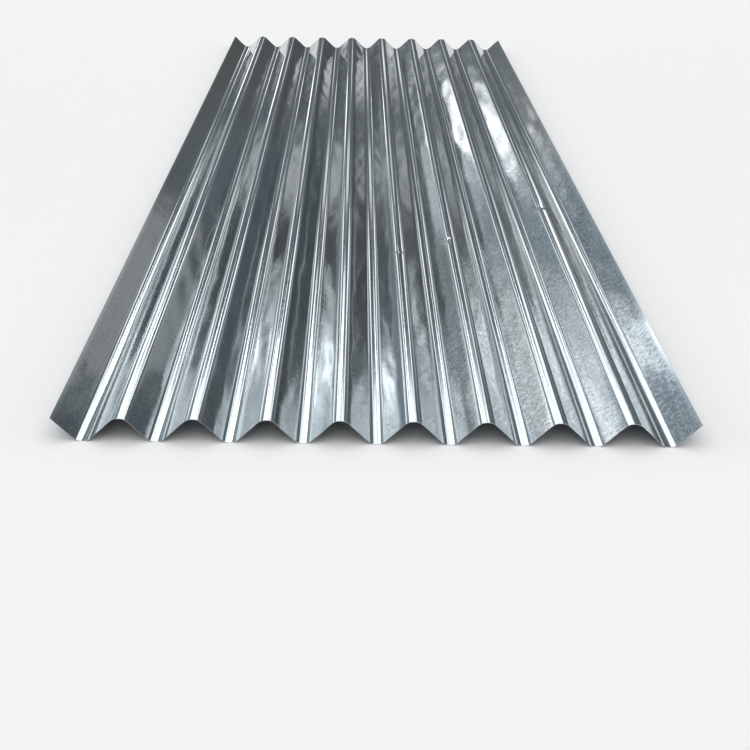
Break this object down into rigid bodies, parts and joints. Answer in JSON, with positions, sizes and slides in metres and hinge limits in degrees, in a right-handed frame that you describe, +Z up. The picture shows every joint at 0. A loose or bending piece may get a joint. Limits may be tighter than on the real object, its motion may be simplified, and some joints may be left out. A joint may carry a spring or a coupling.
{
  "type": "corrugated metal sheet",
  "caption": "Galvanised steel sheet roll-formed into parallel waves with straight flanks and narrow flat crests and valleys, for roofing and cladding; it lies flat on its valleys.",
  "frame": {"origin": "on the floor under the middle of the sheet, on the underside of the middle valley", "axes": "+X across the waves, +Y along the waves and the sheet's length, +Z up, out of the face that sheds the rain"},
  "size_m": [0.6638, 2.44, 0.0255],
  "materials": {
    "galvanised_steel": "bright hot-dip zinc with a fine spangle"
  },
  "bodies": {
    "root": {"corrugated_sheet": "galvanised_steel"}
  },
  "joints": []
}
